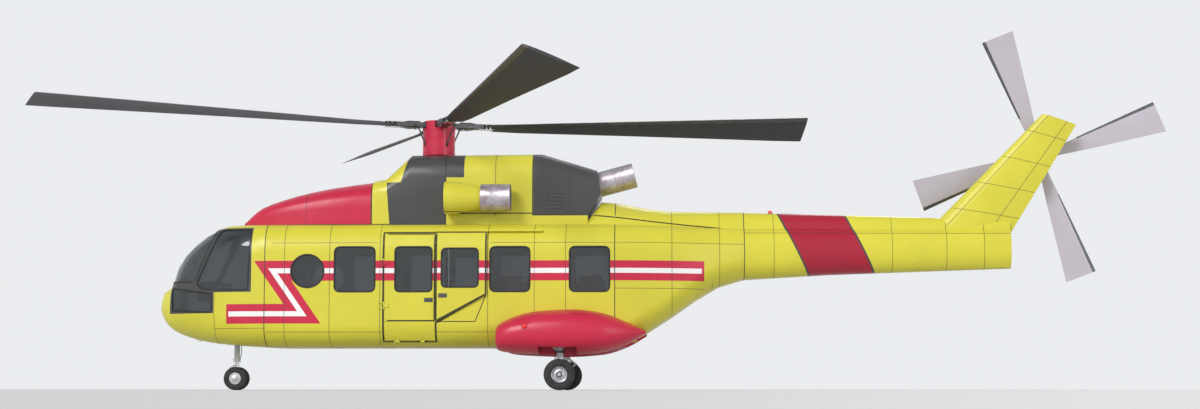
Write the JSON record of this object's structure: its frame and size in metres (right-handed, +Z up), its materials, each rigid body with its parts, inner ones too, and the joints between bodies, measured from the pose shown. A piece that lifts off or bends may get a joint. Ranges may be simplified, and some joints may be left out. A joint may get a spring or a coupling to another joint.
{
  "type": "three-engined search-and-rescue transport helicopter",
  "caption": "Rescue helicopter on wheels, with turning main and tail rotors, hinged and sliding side doors, a fold-down step, a tail ramp and a fitted cabin.",
  "frame": {"origin": "middle of the whole helicopter's plan box, blades included, on the ground under the tyres", "axes": "+X from the nose towards the tail, +Y to the starboard side, +Z up"},
  "size_m": [23.7015, 16.1498, 7.7406],
  "materials": {
    "yellow_paint": "gloss yellow paint",
    "red_paint": "gloss red paint",
    "red_composite": "gloss red paint on laminate",
    "black_paint": "satin black paint",
    "blade_composite": "satin black laminate",
    "tail_blade_composite": "grey paint on laminate",
    "exhaust_metal": "heat-tinted sheet",
    "gear_steel": "gloss grey paint and bare rods",
    "wheel_alloy": "satin cast alloy",
    "tyre_rubber": "matt rubber",
    "tinted_glass": "dark tint",
    "cabin_grey": "matt grey paint",
    "panel_black": "matt black",
    "seat_fabric": "woven, dark blue grey",
    "bench_fabric": "woven, red brown"
  },
  "bodies": {
    "airframe": {"nose_section": "yellow_paint", "cabin_shell": "yellow_paint", "rear_fuselage": "yellow_paint", "tail_boom": "yellow_paint", "tail_fin": "yellow_paint", "engine_deck": "yellow_paint", "engine_cowl": "yellow_paint", "forward_fairing": "red_composite", "sponson_port": "red_composite", "sponson_starboard": "red_composite", "mast_cowl": "black_paint", "rear_cowl": "black_paint", "side_exhaust_port": "exhaust_metal", "side_exhaust_starboard": "exhaust_metal", "rear_exhaust": "exhaust_metal", "nose_gear_leg": "gear_steel", "main_gear_leg_port": "gear_steel", "main_gear_leg_starboard": "gear_steel", "cockpit_glazing": "tinted_glass", "cabin_glass_forward_port": "tinted_glass", "cabin_glass_forward_starboard": "tinted_glass", "cabin_glass_aft_port": "tinted_glass", "cabin_glass_aft_starboard": "tinted_glass", "cabin_floor": "cabin_grey", "cockpit_bulkhead": "cabin_grey", "pilot_seat_port": "cabin_grey", "pilot_seat_starboard": "cabin_grey", "bench_port": "cabin_grey", "bench_starboard": "cabin_grey", "instrument_panel": "panel_black", "pilot_cushion_port": "seat_fabric", "pilot_cushion_starboard": "seat_fabric", "bench_cushion_port": "bench_fabric", "bench_cushion_starboard": "bench_fabric"},
    "main_rotor": {"rotor_hub": "gear_steel", "mast_fairing": "red_paint", "main_blade_1": "blade_composite", "main_blade_2": "blade_composite", "main_blade_3": "blade_composite", "main_blade_4": "blade_composite"},
    "tail_rotor": {"tail_rotor": "tail_blade_composite"},
    "nose_steering": {"nose_fork": "gear_steel"},
    "nose_wheels": {"nose_wheel_rims": "wheel_alloy", "nose_tyre_port": "tyre_rubber", "nose_tyre_starboard": "tyre_rubber"},
    "main_wheel_port": {"main_wheel_port": "wheel_alloy", "main_tyre_port": "tyre_rubber"},
    "main_wheel_starboard": {"main_wheel_starboard": "wheel_alloy", "main_tyre_starboard": "tyre_rubber"},
    "front_door_port": {"front_door_port": "yellow_paint", "front_door_glass_port": "tinted_glass"},
    "front_door_starboard": {"front_door_starboard": "yellow_paint", "front_door_glass_starboard": "tinted_glass"},
    "sliding_door_port": {"sliding_door_port": "yellow_paint", "sliding_door_glass_port": "tinted_glass"},
    "sliding_door_starboard": {"sliding_door_starboard": "yellow_paint", "sliding_door_glass_starboard": "tinted_glass"},
    "step_panel": {"step_panel_port": "yellow_paint"},
    "ramp": {"rear_ramp": "yellow_paint"}
  },
  "joints": [
    {"name": "main_rotor_spin", "type": "hinge", "parent": "airframe", "child": "main_rotor", "pos_m": [-3.776, 0, 5.66], "axis": [0, 0, 1], "continuous": true},
    {"name": "tail_rotor_spin", "type": "hinge", "parent": "airframe", "child": "tail_rotor", "pos_m": [9.128, 0.52, 5.018], "axis": [0, 1, 0], "continuous": true},
    {"name": "nose_steer", "type": "hinge", "parent": "airframe", "child": "nose_steering", "pos_m": [-8.067, 0, 0.5], "axis": [0, 0, 1], "range_deg": [-60, 60]},
    {"name": "nose_wheel_roll", "type": "hinge", "parent": "nose_steering", "child": "nose_wheels", "pos_m": [-8.067, 0, 0.2475], "axis": [0, 1, 0], "continuous": true},
    {"name": "main_wheel_roll_port", "type": "hinge", "parent": "airframe", "child": "main_wheel_port", "pos_m": [-1.087, -1.93, 0.32], "axis": [0, 1, 0], "continuous": true},
    {"name": "main_wheel_roll_starboard", "type": "hinge", "parent": "airframe", "child": "main_wheel_starboard", "pos_m": [-1.087, 1.93, 0.32], "axis": [0, 1, 0], "continuous": true},
    {"name": "front_door_swing_port", "type": "hinge", "parent": "airframe", "child": "front_door_port", "pos_m": [-4.752, -1.4145, 2.2], "axis": [0, 0, -1], "range_deg": [0, 95]},
    {"name": "front_door_swing_starboard", "type": "hinge", "parent": "airframe", "child": "front_door_starboard", "pos_m": [-4.752, 1.4145, 2.2], "axis": [0, 0, 1], "range_deg": [0, 95]},
    {"name": "sliding_door_travel_port", "type": "slide", "parent": "airframe", "child": "sliding_door_port", "axis": [1, 0, 0], "range_m": [0, 1.05]},
    {"name": "sliding_door_travel_starboard", "type": "slide", "parent": "airframe", "child": "sliding_door_starboard", "axis": [1, 0, 0], "range_m": [0, 1.05]},
    {"name": "step_panel_fold", "type": "hinge", "parent": "airframe", "child": "step_panel", "pos_m": [-4.217, -1.2333, 1.0035], "axis": [1, 0, 0], "range_deg": [0, 100]},
    {"name": "ramp_lower", "type": "hinge", "parent": "airframe", "child": "ramp", "pos_m": [0.37487, 0, 1.02859], "axis": [0, 1, 0], "range_deg": [0, 50]}
  ],
  "couplings": [
    {"joint": "tail_rotor_spin", "follows": "main_rotor_spin", "ratio": -4.7}
  ]
}
